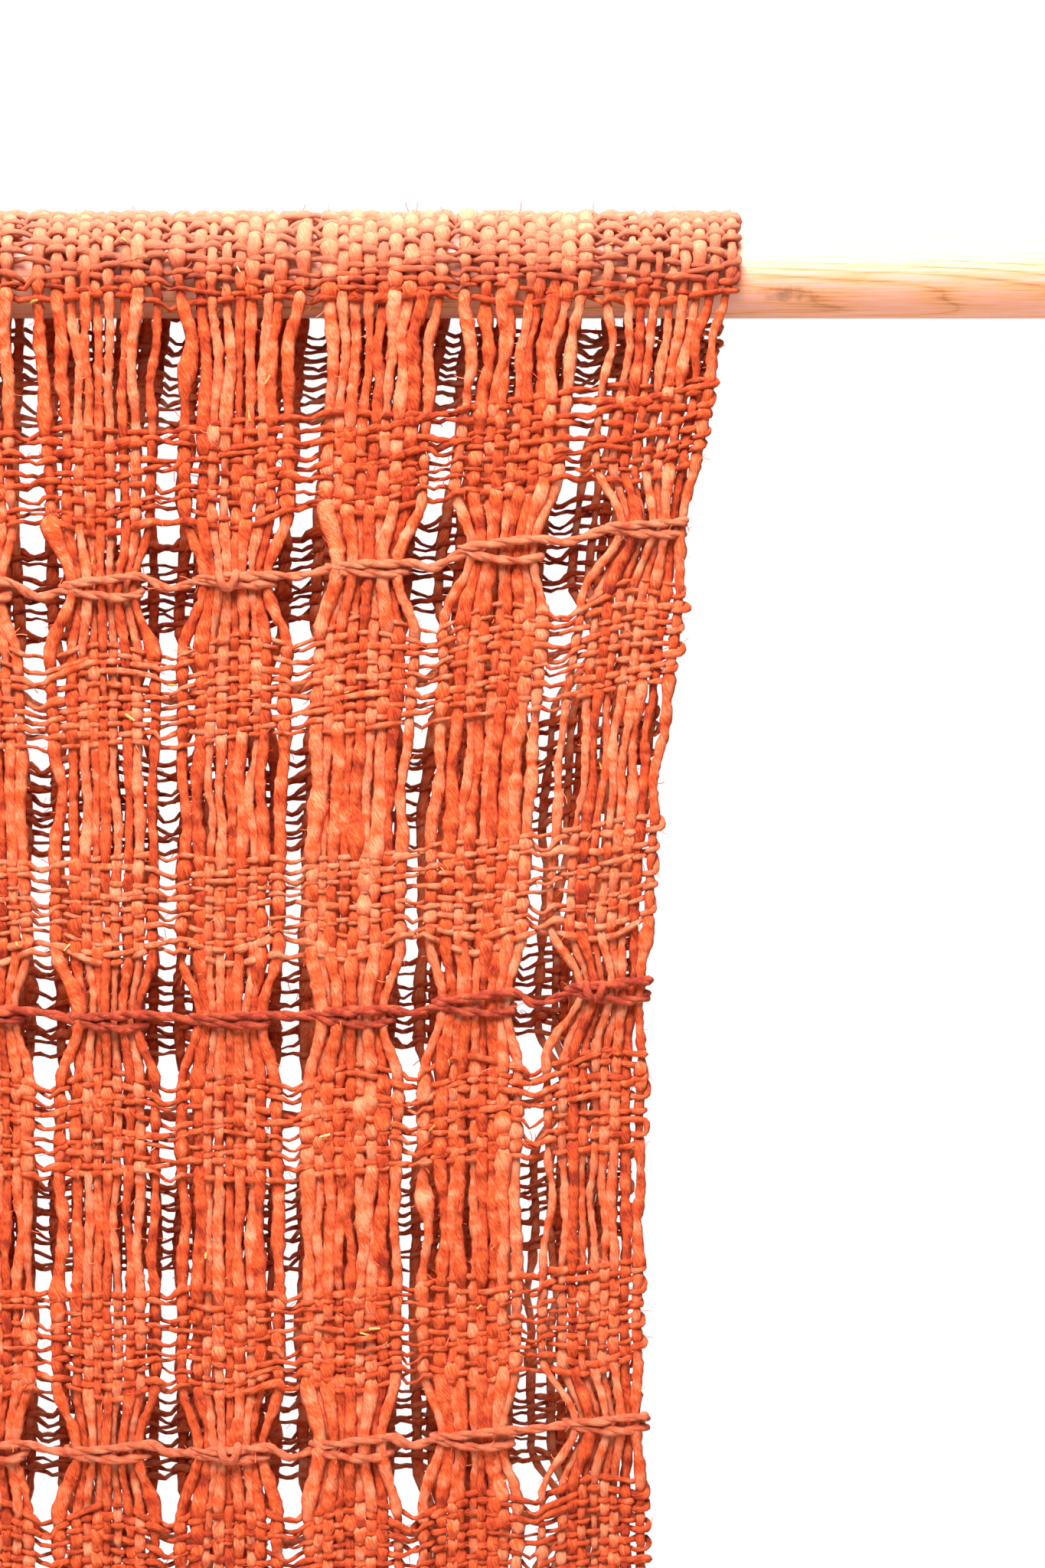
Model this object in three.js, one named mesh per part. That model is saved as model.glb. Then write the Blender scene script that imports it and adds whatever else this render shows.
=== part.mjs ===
// A handwoven openwork wall hanging, folded in two over a round wooden rod.
// Millimetres: +X runs along the rod, -Y faces the room, +Z is up, and the origin is the
// middle of the rod's axis. Each fall is built as if it hung in front, and the back fall is
// then turned half round the vertical.
import * as THREE from 'three';

// Air kept between pieces that lie on each other.
const SEAT_GAP = 0.3;

// The rod.
const ROD_DIAMETER = 25;
const ROD_LENGTH = 550;
const ROD_CHAMFER = 1;
const ROD_SIDES = 48;

// The cloth from side to side. A bundle is the group of warp yarns that the ties gather.
const BUNDLES = 8;
const TOP_PITCH = 41;
const LOW_PITCH = 34.5;
const LADDER_GAP = 6;
const WAIST_WIDTH = 22;
const HEM_WIDTH = 15;

// The cloth from inside to outside.
const WEFT_LAYER = 1.2;
const WARP_LAYER = 3.4;
const TIE_DIAMETER = 3;

// The cloth from the rod down, as drops below the rod's axis and heights of bands.
const SADDLE_DROP = 10;
const TIE_SPACING = 123;
const TIE_ROWS = 4;
const GATHER_HEIGHT = 32;
const WOVEN_HEIGHT = 30;
const HEM_TAPER = 12;
const DRAW_IN_DROP = 260;
const SELVEDGE_LIFT = 10;
const FULL_LIFT_DROP = 90;
const SKEW_DROPS = [10, 50, 110, 200];
const FULL_DRIFT_DROP = 70;
const TIE_SAG = 1.5;

// The two falls. The cloth is folded so that the bands behind lie a quarter of a repeat lower.
// Skew is how steeply the rows near the rod climb to one side, and drift is how far the fall
// hangs to one side of the fold, both as seen from that fall's own side.
const FRONT = { name: 'front', firstTieDrop: 90, skew: 0.06, drift: 0 };
const BACK = { name: 'back', firstTieDrop: 121, skew: -0.06, drift: 3 };

// The knotted tassels of the fringe.
const KNOT_DIAMETER = 16;
const NECK_DIAMETER = 11;
const TAIL_DIAMETER = 17;
const TASSEL_LENGTH = 82;

// How finely the soft pieces are cut. Three.js cuts a half circle and a whole circle alike
// into twice as many sides as its curveSegments says.
const SADDLE_ARC_STEPS = 20;
const BAND_STEPS = 2 * BUNDLES;
const WAIST_STEPS = 4;
const TIE_SIDES = 6;
const TASSEL_SIDES = 10;

// Distances from the rod's axis that follow from the sizes above.
const rodRadius = ROD_DIAMETER / 2;
const weftInside = rodRadius + SEAT_GAP;
const warpInside = weftInside + WEFT_LAYER + SEAT_GAP;
const warpOutside = warpInside + WARP_LAYER;
const warpMiddle = warpInside + WARP_LAYER / 2;
const tieMiddle = warpOutside + SEAT_GAP + TIE_DIAMETER / 2;

// Drops below the rod's axis that follow from the sizes above.
const swingDrop = SADDLE_DROP + SEAT_GAP + WARP_LAYER / 2;
const allTiesHeight = (TIE_ROWS - 1) * TIE_SPACING;
const lastTieToHem = GATHER_HEIGHT / 2 + WOVEN_HEIGHT + HEM_TAPER;
const hemToKnot = SEAT_GAP + KNOT_DIAMETER / 2;

const wood = { color: 0xd9a066, roughness: 0.55, metalness: 0 };
const warpCotton = { color: 0xe2633a, roughness: 0.95, metalness: 0 };
const weftCotton = { color: 0xd4552f, roughness: 0.95, metalness: 0 };
const tieCotton = { color: 0xc0402a, roughness: 0.95, metalness: 0 };

function part(name, geometry, finish) {
  const mesh = new THREE.Mesh(geometry, new THREE.MeshStandardMaterial(finish));
  mesh.name = name;
  return mesh;
}

function countTo(n) {
  return Array.from({ length: n }, (_, i) => i);
}

function mix(a, b, share) {
  return a + (b - a) * share;
}

// The ties draw the cloth in quickly near the rod and hardly at all past DRAW_IN_DROP.
function pitchAt(drop) {
  const eased = Math.sin((Math.min(drop / DRAW_IN_DROP, 1) * Math.PI) / 2);
  return mix(TOP_PITCH, LOW_PITCH, eased);
}

function driftAt(side, drop) {
  return side.drift * THREE.MathUtils.smoothstep(drop, SADDLE_DROP, FULL_DRIFT_DROP);
}

// How far to the side a bundle's middle hangs.
function bundleX(side, bundle, drop) {
  return (bundle - (BUNDLES - 1) / 2) * pitchAt(drop) + driftAt(side, drop);
}

function clothHalfWidth(drop) {
  return (BUNDLES * pitchAt(drop) - LADDER_GAP) / 2;
}

// The rows lie level at the rod, climb to one side below it, and lose that skew again after
// the first tie.
function skewAt(side, drop) {
  const [start, full, waning, gone] = SKEW_DROPS;
  const { smoothstep } = THREE.MathUtils;
  return side.skew * (smoothstep(drop, start, full) - smoothstep(drop, waning, gone));
}

// Where a row of ties or weft lies at x. It climbs towards both selvedges.
function lifted(side, drop, x) {
  const share = (x - driftAt(side, drop)) / clothHalfWidth(drop);
  const lift = SELVEDGE_LIFT * Math.min(drop / FULL_LIFT_DROP, 1) * share * share;
  return drop - lift - skewAt(side, drop) * x;
}

function tieDrops(side) {
  return countTo(TIE_ROWS).map((row) => side.firstTieDrop + row * TIE_SPACING);
}

function hemDropOf(side) {
  return side.firstTieDrop + allTiesHeight + lastTieToHem;
}

// The top edge of each woven band: one above and one below each tie, and the one that is
// left between the first tie and the rod where there is room for it.
function bandDrops(side) {
  const aboveTie = -GATHER_HEIGHT / 2 - WOVEN_HEIGHT;
  const belowTie = GATHER_HEIGHT / 2;
  const drops = tieDrops(side).flatMap((tie) => [tie + aboveTie, tie + belowTie]);
  const spare = side.firstTieDrop - TIE_SPACING + belowTie;
  return spare > swingDrop ? [spare, ...drops] : drops;
}

// A box cut into steps, each of whose corners (0 or 1 across, 0 or 1 deep, 0 to 1 down)
// goes where place(across, deep, down) says.
function shapedBox(stepsAcross, stepsDown, place) {
  const box = new THREE.BoxGeometry(1, 1, 1, stepsAcross, 1, stepsDown);
  const corner = box.getAttribute('position');
  for (const i of countTo(corner.count)) {
    const across = corner.getX(i) + 0.5;
    const deep = 0.5 - corner.getY(i);
    const down = 0.5 - corner.getZ(i);
    corner.setXYZ(i, ...place(across, deep, down));
  }
  return box;
}

function rod() {
  const half = ROD_LENGTH / 2;
  const outline = [
    [0, -half],
    [rodRadius - ROD_CHAMFER, -half],
    [rodRadius, -half + ROD_CHAMFER],
    [rodRadius, half - ROD_CHAMFER],
    [rodRadius - ROD_CHAMFER, half],
    [0, half],
  ];
  const profile = outline.map(([r, along]) => new THREE.Vector2(r, along));
  const geometry = new THREE.LatheGeometry(profile, ROD_SIDES);
  geometry.rotateZ(-Math.PI / 2);
  return part('rod', geometry, wood);
}

// The woven stretch that lies on the rod, with a short leg down each side.
function clothOverRod() {
  const section = new THREE.Shape();
  section.moveTo(weftInside, -SADDLE_DROP);
  section.lineTo(warpOutside, -SADDLE_DROP);
  section.absarc(0, 0, warpOutside, 0, Math.PI, false);
  section.lineTo(-warpOutside, -SADDLE_DROP);
  section.lineTo(-weftInside, -SADDLE_DROP);
  section.absarc(0, 0, weftInside, Math.PI, 0, true);
  const width = 2 * clothHalfWidth(0);
  const options = { depth: width, bevelEnabled: false, curveSegments: SADDLE_ARC_STEPS / 2 };
  const geometry = new THREE.ExtrudeGeometry(section, options);
  geometry.translate(0, 0, -width / 2);
  geometry.rotateX(Math.PI / 2);
  geometry.rotateZ(Math.PI / 2);
  return part('cloth_over_rod', geometry, warpCotton);
}

// A bundle's cross-section at each drop where its outline changes. Its top end is rounded
// about the swing axis, so that it turns under the cloth on the rod without touching it.
function bundleStations(side, bundle) {
  const stations = [30, 60, 90].map((degrees) => {
    const angle = THREE.MathUtils.degToRad(degrees);
    return {
      drop: swingDrop - (WARP_LAYER / 2) * Math.cos(angle),
      width: pitchAt(swingDrop) - LADDER_GAP,
      depth: WARP_LAYER * Math.sin(angle),
    };
  });
  for (const tie of tieDrops(side)) {
    const middle = lifted(side, tie, bundleX(side, bundle, tie));
    for (const step of countTo(WAIST_STEPS + 1)) {
      const share = (2 * step) / WAIST_STEPS - 1;
      const drop = middle + (share * GATHER_HEIGHT) / 2;
      const fullWidth = pitchAt(drop) - LADDER_GAP;
      const open = (1 - Math.cos(Math.PI * share)) / 2;
      stations.push({ drop, width: mix(WAIST_WIDTH, fullWidth, open), depth: WARP_LAYER });
    }
  }
  const hemDrop = hemDropOf(side);
  const wovenWidth = pitchAt(hemDrop - HEM_TAPER) - LADDER_GAP;
  stations.push({ drop: hemDrop - HEM_TAPER, width: wovenWidth, depth: WARP_LAYER });
  stations.push({ drop: hemDrop, width: HEM_WIDTH, depth: WARP_LAYER });
  return stations;
}

function warpBundle(side, bundle) {
  const stations = bundleStations(side, bundle);
  const steps = stations.length - 1;
  return shapedBox(1, steps, (across, deep, down) => {
    const { drop, width, depth } = stations[Math.round(down * steps)];
    const x = bundleX(side, bundle, drop) + (across - 0.5) * width;
    return [x, -warpMiddle - (deep - 0.5) * depth, -drop];
  });
}

// The weft yarns of one woven band, as a thin strip behind the bundles that they hold.
function weftBand(side, topDrop) {
  return shapedBox(BAND_STEPS, 1, (across, deep, down) => {
    const level = topDrop + down * WOVEN_HEIGHT;
    const x = (2 * across - 1) * clothHalfWidth(level) + driftAt(side, level);
    return [x, -weftInside - deep * WEFT_LAYER, -lifted(side, level, x)];
  });
}

// A tie yarn lies across the front of every bundle at its waist and sags between them.
function tieYarn(side, level) {
  const at = (x, sag) => new THREE.Vector3(x, -tieMiddle, -lifted(side, level, x) - sag);
  const points = [at(bundleX(side, 0, level) - WAIST_WIDTH / 2, 0)];
  for (const bundle of countTo(BUNDLES)) {
    const x = bundleX(side, bundle, level);
    points.push(at(x, 0));
    if (bundle < BUNDLES - 1) {
      points.push(at((x + bundleX(side, bundle + 1, level)) / 2, TIE_SAG));
    }
  }
  points.push(at(bundleX(side, BUNDLES - 1, level) + WAIST_WIDTH / 2, 0));
  const path = new THREE.CatmullRomCurve3(points);
  const round = new THREE.Shape();
  round.absarc(0, 0, TIE_DIAMETER / 2, 0, 2 * Math.PI, false);
  const steps = 2 * (points.length - 1);
  const options = { steps, curveSegments: TIE_SIDES / 2, bevelEnabled: false, extrudePath: path };
  return new THREE.ExtrudeGeometry(round, options);
}

// A knot, round about the axis it swings on, over a tail of loose yarn ends.
function tassel(side, bundle) {
  const knotRadius = KNOT_DIAMETER / 2;
  const neckAngle = Math.asin(NECK_DIAMETER / KNOT_DIAMETER);
  const ends = -(TASSEL_LENGTH - knotRadius);
  const profile = [new THREE.Vector2(0, ends)];
  profile.push(new THREE.Vector2(TAIL_DIAMETER / 2, ends));
  profile.push(new THREE.Vector2(TAIL_DIAMETER / 2, ends / 2));
  for (const step of countTo(7)) {
    const angle = mix(neckAngle, Math.PI, step / 6);
    const r = step === 6 ? 0 : knotRadius * Math.sin(angle);
    profile.push(new THREE.Vector2(r, -knotRadius * Math.cos(angle)));
  }
  const knotDrop = hemDropOf(side) + hemToKnot;
  const geometry = new THREE.LatheGeometry(profile, TASSEL_SIDES);
  geometry.rotateX(Math.PI / 2);
  geometry.translate(bundleX(side, bundle, knotDrop), -warpMiddle, -knotDrop);
  return geometry;
}

// Everything that hangs on one side of the rod.
function fall(side) {
  const group = new THREE.Group();
  for (const [row, drop] of tieDrops(side).entries()) {
    group.add(part(`${side.name}_tie_${row + 1}`, tieYarn(side, drop), tieCotton));
  }
  for (const [band, drop] of bandDrops(side).entries()) {
    group.add(part(`${side.name}_weft_band_${band + 1}`, weftBand(side, drop), weftCotton));
  }
  for (const bundle of countTo(BUNDLES)) {
    const number = bundle + 1;
    group.add(part(`${side.name}_bundle_${number}`, warpBundle(side, bundle), warpCotton));
    group.add(part(`${side.name}_tassel_${number}`, tassel(side, bundle), warpCotton));
  }
  return group;
}

const hanging = new THREE.Group();
hanging.add(rod(), clothOverRod(), fall(FRONT));
const backFall = fall(BACK);
backFall.rotation.z = Math.PI;
hanging.add(backFall);

export default hanging;
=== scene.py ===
# A handwoven openwork cotton cloth, folded over a wooden rod and built yarn by yarn.
# Metres, in the frame of the CAD model: +X runs along the rod, -Y faces the room and +Z is up.
import math
from dataclasses import dataclass
from functools import lru_cache
from typing import Callable

import bpy
import numpy as np
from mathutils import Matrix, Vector


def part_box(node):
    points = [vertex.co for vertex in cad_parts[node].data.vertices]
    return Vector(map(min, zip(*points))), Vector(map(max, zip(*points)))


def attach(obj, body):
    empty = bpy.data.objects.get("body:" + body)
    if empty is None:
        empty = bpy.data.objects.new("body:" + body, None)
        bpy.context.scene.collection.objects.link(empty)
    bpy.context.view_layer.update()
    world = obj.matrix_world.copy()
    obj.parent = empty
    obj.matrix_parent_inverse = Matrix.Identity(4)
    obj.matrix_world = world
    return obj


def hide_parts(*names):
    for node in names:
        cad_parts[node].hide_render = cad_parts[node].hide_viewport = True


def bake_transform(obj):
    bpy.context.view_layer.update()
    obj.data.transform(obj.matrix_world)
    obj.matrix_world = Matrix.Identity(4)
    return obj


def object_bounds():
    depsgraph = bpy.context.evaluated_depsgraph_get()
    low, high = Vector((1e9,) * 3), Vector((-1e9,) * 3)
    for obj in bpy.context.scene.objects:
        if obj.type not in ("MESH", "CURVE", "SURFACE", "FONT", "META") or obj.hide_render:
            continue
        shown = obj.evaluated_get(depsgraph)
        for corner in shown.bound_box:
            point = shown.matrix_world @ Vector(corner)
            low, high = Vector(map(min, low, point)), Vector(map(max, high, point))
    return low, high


bl_info = {
    "name": "Handwoven wall hanging",
    "version": (1, 0, 0),
    "blender": (4, 5, 0),
    "location": "View3D > Sidebar > Wall hanging",
    "description": "Builds an openwork cotton cloth folded over a wooden rod, yarn by yarn",
    "category": "Object",
}

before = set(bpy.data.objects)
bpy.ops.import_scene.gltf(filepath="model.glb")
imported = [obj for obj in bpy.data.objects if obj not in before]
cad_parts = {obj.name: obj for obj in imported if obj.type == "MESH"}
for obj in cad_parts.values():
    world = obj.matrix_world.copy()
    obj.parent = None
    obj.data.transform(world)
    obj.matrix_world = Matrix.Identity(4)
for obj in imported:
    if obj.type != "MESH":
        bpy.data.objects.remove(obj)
CAD_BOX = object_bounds()

# The layout of the cloth, as in the CAD model. A bundle is the group of warp yarns that the
# ties gather, and a drop is a height below the rod's axis. The tops of the woven bands, the
# lift at the selvedges and the skew of the rows follow the same rules.
BUNDLES = sum(node.startswith("front_bundle_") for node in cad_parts)
TIE_ROWS = sum(node.startswith("front_tie_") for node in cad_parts)
TOP_PITCH = 0.041
LOW_PITCH = 0.0345
DRAW_IN_DROP = 0.260
HEM_WIDTH = 0.015
HEM_TAPER = 0.012
TIE_SPACING = 0.123
GATHER_HEIGHT = 0.032
WOVEN_HEIGHT = 0.030
SADDLE_DROP = 0.010
SELVEDGE_LIFT = 0.010
FULL_LIFT_DROP = 0.090
ROW_SKEW = 0.06
SKEW_DROPS = (0.010, 0.050, 0.110, 0.200)
FULL_DRIFT_DROP = 0.070
KNOT_DIAMETER = 0.016
SEAT_GAP = 0.0003

# How the yarns lie in the cloth, which the CAD model does not show.
TIGHT_WIDTH = 0.0195
STRAY_REACH = 0.0036
WARP_CRIMP = 0.00055
WEFT_CRIMP = 0.00165
WEFT_STEP = 0.0018
SKIP_CHANCE = 0.045
LOOSE_FADE = 0.012
ROW_BOW = 0.0026
BOW_FADE = 0.011
TIE_STEP = 0.0014
TIE_SHADES = (0.85, 0.10, 0.75, 0.40)
PLY_TURN = 0.014

# The height of the lumps in a yarn, and the flecks of straw on a square metre of its surface.
WARP_LUMPS = 0.0019
WEFT_LUMPS = 0.0011
FLECKS = 260.0

# Faces round a yarn, the height of its lumps, and the hairs and flecks on a square metre.
ROD_WEFT_YARN = (6, 0.0010, 9000.0, FLECKS)
TIE_YARN = (7, 0.0006, 9000.0, 0.0)
FRINGE_YARN = (7, 0.0009, 6000.0, 200.0)

# The paler colours painted on the cotton and the wood on top of the rod, a painted highlight where the
# light from above falls most, and the colour of handling marks.
TOP_LIT_COTTON = (1.0, 0.47, 0.29, 1)
TOP_LIT_WOOD = (0.84, 0.34, 0.36, 1)
STAIN = (0.16, 0.06, 0.02, 1)

# The rod, and the middle of the cloth where it turns over the rod.
ROD_ENDS = (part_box("rod")[0][0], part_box("rod")[1][0])
ROD_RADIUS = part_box("rod")[1][2]
FOLD_RADIUS = ROD_RADIUS + 0.0031
QUARTER_TURN = FOLD_RADIUS * math.pi / 2


@dataclass(frozen=True)
class Fall:
    """One layer of the cloth. Facing is 1 in front of the rod and -1 behind it. Drift is how
    far the layer hangs towards +X of the fold. Warp step is the longest stretch between two
    points of a warp, and hairs are those on a square metre of its yarns."""

    name: str
    facing: int
    first_tie: float
    drift: float
    warp_step: float
    faces_round_warp: int
    faces_round_weft: int
    hairs: float


FRONT = Fall("front", 1, 0.090, 0.0, 0.0013, 8, 6, 11000.0)
BACK = Fall("back", -1, 0.121, -0.003, 0.0024, 6, 5, 4000.0)


# ---- small helpers


def mix(a, b, share):
    return a + (b - a) * share


def smooth(share):
    share = np.clip(share, 0, 1)
    return share * share * (3 - 2 * share)


def smooth_between(value, low, high):
    return smooth((np.asarray(value) - low) / (high - low))


def seeded(seed):
    """A random generator for a seed of whole numbers and words."""
    words = [sum(map(ord, item)) if isinstance(item, str) else item for item in seed]
    return np.random.default_rng(words)


@lru_cache(maxsize=None)
def random_waves(seed):
    """Lengths and phases of six waves that are the same for the same seed."""
    random = seeded(seed)
    return random.uniform(0.55, 1.8, 6), random.uniform(0, 2 * math.pi, 6)


def wobble(seed, wavelength, along):
    """A smooth random wave, mostly between -1 and 1, that is the same for the same seed."""
    lengths, phases = random_waves(seed)
    along = np.asarray(along, dtype=float)
    return np.sin(2 * math.pi / wavelength * along[..., None] / lengths + phases).sum(-1) / 3


@lru_cache(maxsize=None)
def chance(*seed):
    """A random number from 0 to 1 that is the same for the same seed."""
    return seeded(seed).uniform()


def eased_through(along, knots, values):
    """Runs through the values at the knots, and is level at each knot."""
    before = np.clip(np.searchsorted(knots, along) - 1, 0, len(knots) - 2)
    share = smooth((along - knots[before]) / (knots[before + 1] - knots[before]))
    return mix(values[before], values[before + 1], share)


def stations_between(knots, longest_step):
    """The knots with at least one point put between each pair of neighbours."""
    points = []
    for start, end in zip(knots[:-1], knots[1:]):
        steps = max(2, math.ceil((end - start) / longest_step))
        points.extend(np.linspace(start, end, steps, endpoint=False))
    return np.array([*points, knots[-1]])


# ---- the lie of the cloth


def pitch_at(drop):
    share = np.sin(np.clip(np.asarray(drop) / DRAW_IN_DROP, 0, 1) * math.pi / 2)
    return mix(TOP_PITCH, LOW_PITCH, share)


def drift_at(fall, drop):
    return fall.drift * smooth_between(drop, SADDLE_DROP, FULL_DRIFT_DROP)


def bundle_x(fall, bundle, drop):
    return (bundle - (BUNDLES - 1) / 2) * pitch_at(drop) + drift_at(fall, drop)


def ladder_at(drop):
    """Width of the open ladder between two bundles, away from the ties."""
    opened = mix(0.0030, 0.0066, smooth_between(drop, 0, 0.030))
    return mix(opened, 0.0052, smooth_between(drop, 0.040, 0.260))


def cloth_half_width(drop):
    return (BUNDLES * pitch_at(drop) - ladder_at(drop)) / 2


def skew_at(drop):
    start, full, waning, gone = SKEW_DROPS
    return ROW_SKEW * (smooth_between(drop, start, full) - smooth_between(drop, waning, gone))


def lifted(fall, drop, x):
    """The drop at x of a row that would be at this drop in the middle of the cloth."""
    share = (x - drift_at(fall, drop)) / cloth_half_width(drop)
    lift = SELVEDGE_LIFT * np.clip(np.asarray(drop) / FULL_LIFT_DROP, 0, 1) * share**2
    return drop - lift - skew_at(drop) * x


def tie_drops(fall):
    return [fall.first_tie + row * TIE_SPACING for row in range(TIE_ROWS)]


def band_tops(fall):
    """The top drop of each woven band. The CAD model has as many."""
    bands = sum(node.startswith(f"{fall.name}_weft_band_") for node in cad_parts)
    above, below = -GATHER_HEIGHT / 2 - WOVEN_HEIGHT, GATHER_HEIGHT / 2
    tops = [tie + side for tie in tie_drops(fall) for side in (above, below)]
    if bands > len(tops):
        tops.insert(0, fall.first_tie - TIE_SPACING + below)
    return tops


def hem_drop(fall):
    return -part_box(f"{fall.name}_bundle_1")[0][2]


def knot_drop(fall):
    return hem_drop(fall) + SEAT_GAP + KNOT_DIAMETER / 2


def settle(way, x, out):
    """Points of the cloth. Way is the distance from the top of the rod, forwards over it and
    down the front, or backwards if negative. Out is the distance outside the cloth's middle."""
    turn = np.clip(way / FOLD_RADIUS, -math.pi / 2, math.pi / 2)
    drop = np.maximum(np.abs(way) - QUARTER_TURN, 0)
    radius = FOLD_RADIUS + out
    return np.column_stack([x, -radius * np.sin(turn), radius * np.cos(turn) - drop])


def drop_to_way(fall, drop):
    return fall.facing * (drop + QUARTER_TURN)


def way_to_drop(way):
    return np.abs(way) - QUARTER_TURN


# ---- rows of weft


def from_bundle_middle(fall, drop, x):
    """0 in the middle of a bundle, to 1 in the middle of the ladder beside it."""
    turns = (x - drift_at(fall, drop)) / pitch_at(drop) - (BUNDLES - 1) / 2
    return 2 * np.abs(turns - np.round(turns))


def bundle_bow(fall, level, x):
    """Next to a tie the rows bow towards it inside each bundle and away from it between."""
    bow = 0
    inside = np.cos(math.pi * from_bundle_middle(fall, level, x))
    for tie in tie_drops(fall):
        away = level - tie
        strength = ROW_BOW * math.exp(-max(abs(away) - GATHER_HEIGHT / 2, 0) / BOW_FADE)
        if abs(away) < GATHER_HEIGHT / 2 + WOVEN_HEIGHT:
            bow = bow - math.copysign(strength, away) * inside
    return bow


def row_drop(fall, level, x):
    """The drop at x of a row of weft at this level."""
    uneven = 0.0010 * wobble((7, fall.facing + 1), 0.09, x + 9 * level)
    local = 0.0007 * wobble((8, fall.facing + 1), 0.035, x + 4 * level)
    return lifted(fall, level, x) + bundle_bow(fall, level, x) + uneven + local


@dataclass(frozen=True)
class Row:
    """One row of weft: its number, a seed of its own, and its way from the rod's top at x."""

    number: int
    seed: tuple
    way_at: Callable

    def passes(self, warp):
        """1 where the weft lies outside the warp, and -1 where it lies inside. Now and then it
        skips a warp and stays outside."""
        skips = chance(*self.seed, warp) < SKIP_CHANCE
        return 1.0 if skips or self.number % 2 == warp % 2 else -1.0


def band_rows(fall, band, pitch):
    """The rows of one woven band, from the top down."""
    top = band_tops(fall)[band]
    count = round(WOVEN_HEIGHT / pitch)
    rows = []
    for number in range(count):
        level = top + (number + 0.5) * WOVEN_HEIGHT / count
        rows.append(Row(number, (13, fall.facing + 1, band, number), level_row(fall, level)))
    return rows


def level_row(fall, level):
    return lambda x: drop_to_way(fall, row_drop(fall, level, x))


def rod_rows(pitch):
    """The rows over the rod, from the back to the front."""
    reach = QUARTER_TURN + SADDLE_DROP
    count = 2 * round(reach / pitch)
    rows = []
    for number in range(count):
        way = (number + 0.5 - count / 2) * 2 * reach / count
        rows.append(Row(number, (12, number), rippled_row(way)))
    return rows


def rippled_row(way):
    return lambda x: way + 0.0015 * wobble((11,), 0.06, x + 5 * way)


def crossed_rows(fall, pitch):
    """Every row that a fall's warps cross, with those over the rod."""
    rows = rod_rows(pitch)
    for band in range(len(band_tops(fall))):
        rows += band_rows(fall, band, pitch)
    return rows


# ---- warp yarns


def waist_share(fall, bundle, drop):
    """1 in the waist under a tie, down to 0 where the bundle has spread again."""
    share = 0
    for tie in tie_drops(fall):
        waist = lifted(fall, tie, bundle_x(fall, bundle, tie))
        away = np.clip(np.abs(drop - waist) / (0.62 * GATHER_HEIGHT), 0, 1)
        share = np.maximum(share, (1 + np.cos(math.pi * away)) / 2)
    return share


def bundle_width(fall, bundle, drop):
    width = 0.92 * (pitch_at(drop) - ladder_at(drop))
    width = mix(width, TIGHT_WIDTH, waist_share(fall, bundle, drop))
    hem = hem_drop(fall)
    return mix(width, 0.6 * HEM_WIDTH, smooth_between(drop, hem - HEM_TAPER, hem + 0.004))


def looseness(fall, bundle, drop):
    """1 in the middle of an open stretch of warp, and 0 in the weave and under the ties."""
    away = smooth_between(drop, SADDLE_DROP, SADDLE_DROP + LOOSE_FADE)
    x = bundle_x(fall, bundle, drop)
    for top in band_tops(fall):
        above = lifted(fall, top, x) - drop
        below = drop - lifted(fall, top + WOVEN_HEIGHT, x)
        away = np.minimum(away, smooth(np.maximum(above, below) / LOOSE_FADE))
    return away * (1 - waist_share(fall, bundle, drop))


def warp_x(fall, warp, way, cloth):
    """Where a warp lies from side to side. Warps are numbered from the left selvedge."""
    ways, x = warp_line(fall, warp, cloth.warps_per_bundle)
    return np.interp(way, ways, x)


@lru_cache(maxsize=None)
def warp_line(fall, warp, warps_per_bundle):
    """A warp's place from side to side, at each millimetre from just past the rod's top."""
    longest = QUARTER_TURN + hem_drop(fall) + 0.010
    way = np.arange(-0.040, longest, 0.001) * fall.facing
    bundle, place = divmod(warp, warps_per_bundle)
    drop = way_to_drop(way)
    share = (place + 0.5 + 0.35 * (chance(1, warp) - 0.5)) / warps_per_bundle - 0.5
    loose = looseness(fall, bundle, drop)
    width = bundle_width(fall, bundle, drop) * (1 - 0.05 * loose)
    x = bundle_x(fall, bundle, drop) + share * width
    x = x + mix(0.0003, 0.0010, loose) * wobble((2, warp), 0.045, way)
    if place in (0, warps_per_bundle - 1):
        apart = STRAY_REACH * chance(3, warp) * (0.8 + 0.35 * wobble((3, warp), 0.12, way))
        x = x + math.copysign(1, share) * apart * (1 - waist_share(fall, bundle, drop))
    x = x + selvedge_pull(fall, bundle, drop)
    return (way, x) if fall.facing > 0 else (way[::-1], x[::-1])


def selvedge_pull(fall, bundle, drop):
    """The outer bundles are gathered towards the selvedge, which stays nearly straight."""
    if bundle not in (0, BUNDLES - 1):
        return 0
    outwards = 1 if bundle else -1
    return outwards * 0.0032 * waist_share(fall, bundle, drop)


def slubs(seed, along, cloth):
    """How much thicker or thinner than usual a handspun yarn is at each place along it."""
    fine = 0.12 * wobble((*seed, 0), 0.009, along)
    slow = 0.18 * wobble((*seed, 1), 0.050, along)
    lumps = 0.60 * np.maximum(wobble((*seed, 2), 0.030, along) - 0.65, 0)
    return 1 + cloth.slubbiness * (fine + slow + lumps)


def warp_crossings(fall, warp, cloth):
    """(distance from the rod's top, how the weft passes) for each row that a warp crosses."""
    crossings = []
    for row in crossed_rows(fall, cloth.weft_pitch):
        usual = np.array(row.way_at(0.0))
        way = float(row.way_at(warp_x(fall, warp, usual, cloth)))
        crossings.append((way * fall.facing, row.passes(warp)))
    crossings.sort()
    start, end = -0.0015, QUARTER_TURN + hem_drop(fall) + 0.004
    inside = [crossing for crossing in crossings if start < crossing[0] < end]
    return spaced_knots([(start, 0.0), *inside, (end, 0.0)])


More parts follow.
